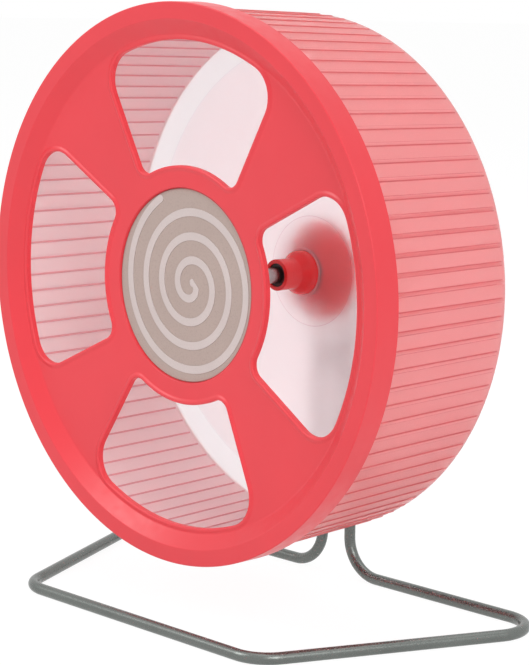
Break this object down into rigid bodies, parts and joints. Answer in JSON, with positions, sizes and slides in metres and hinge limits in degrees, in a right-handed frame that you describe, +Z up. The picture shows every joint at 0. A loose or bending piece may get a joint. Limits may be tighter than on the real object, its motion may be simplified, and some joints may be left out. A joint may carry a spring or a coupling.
{
  "type": "exercise wheel",
  "caption": "Round running wheel for a pet rodent: ribbed see-through drum, coral front cover with windows, spiral disc, on a bent wire stand.",
  "frame": {"origin": "on the floor, under the middle of the wire base's bounding box", "axes": "+Z up, the wheel's axle along Y with the windowed front cover facing -Y, +X to the right seen from the front"},
  "size_m": [0.2906, 0.1518, 0.3097],
  "materials": {
    "cover_plastic": "moulded coral red, satin",
    "drum_plastic": "frosted, pink-tinted, lets light through",
    "disc_plastic": "matt taupe",
    "spiral_plastic": "matt pale taupe",
    "hub_plastic": "glossy red, slightly see-through",
    "bush_plastic": "black",
    "cage_plastic": "natural polymer",
    "wire_steel": "satin warm grey coating",
    "weld_steel": "coated weld beads",
    "axle_steel": "plain turned steel",
    "bearing_steel": "ground bearing steel"
  },
  "bodies": {
    "stand": {"stand_wire": "wire_steel", "cross_brace": "wire_steel", "axle_boss": "axle_steel", "axle_rod": "axle_steel", "boss_welds": "weld_steel", "brace_welds": "weld_steel", "spacer_sleeve": "axle_steel", "bearing_inner_race": "bearing_steel", "axle_clip": "axle_steel", "end_washer": "axle_steel", "end_screw": "axle_steel"},
    "wheel": {"drum": "drum_plastic", "front_cover": "cover_plastic", "centre_disc": "disc_plastic", "spiral_inlay": "spiral_plastic", "hub_housing": "hub_plastic", "hub_flange": "hub_plastic", "mouth_bush": "bush_plastic", "front_bush": "bush_plastic", "bearing_outer_race": "bearing_steel", "bearing_shields": "bearing_steel"},
    "bearing_train": {"bearing_cage": "cage_plastic", "bearing_balls": "bearing_steel"}
  },
  "joints": [
    {"name": "wheel_spin", "type": "hinge", "parent": "stand", "child": "wheel", "pos_m": [0, 0, 0.1695], "axis": [0, 1, 0], "continuous": true},
    {"name": "cage_spin", "type": "hinge", "parent": "stand", "child": "bearing_train", "pos_m": [0, 0, 0.1695], "axis": [0, 1, 0], "continuous": true}
  ],
  "couplings": [
    {"joint": "cage_spin", "follows": "wheel_spin", "ratio": 0.6111}
  ]
}
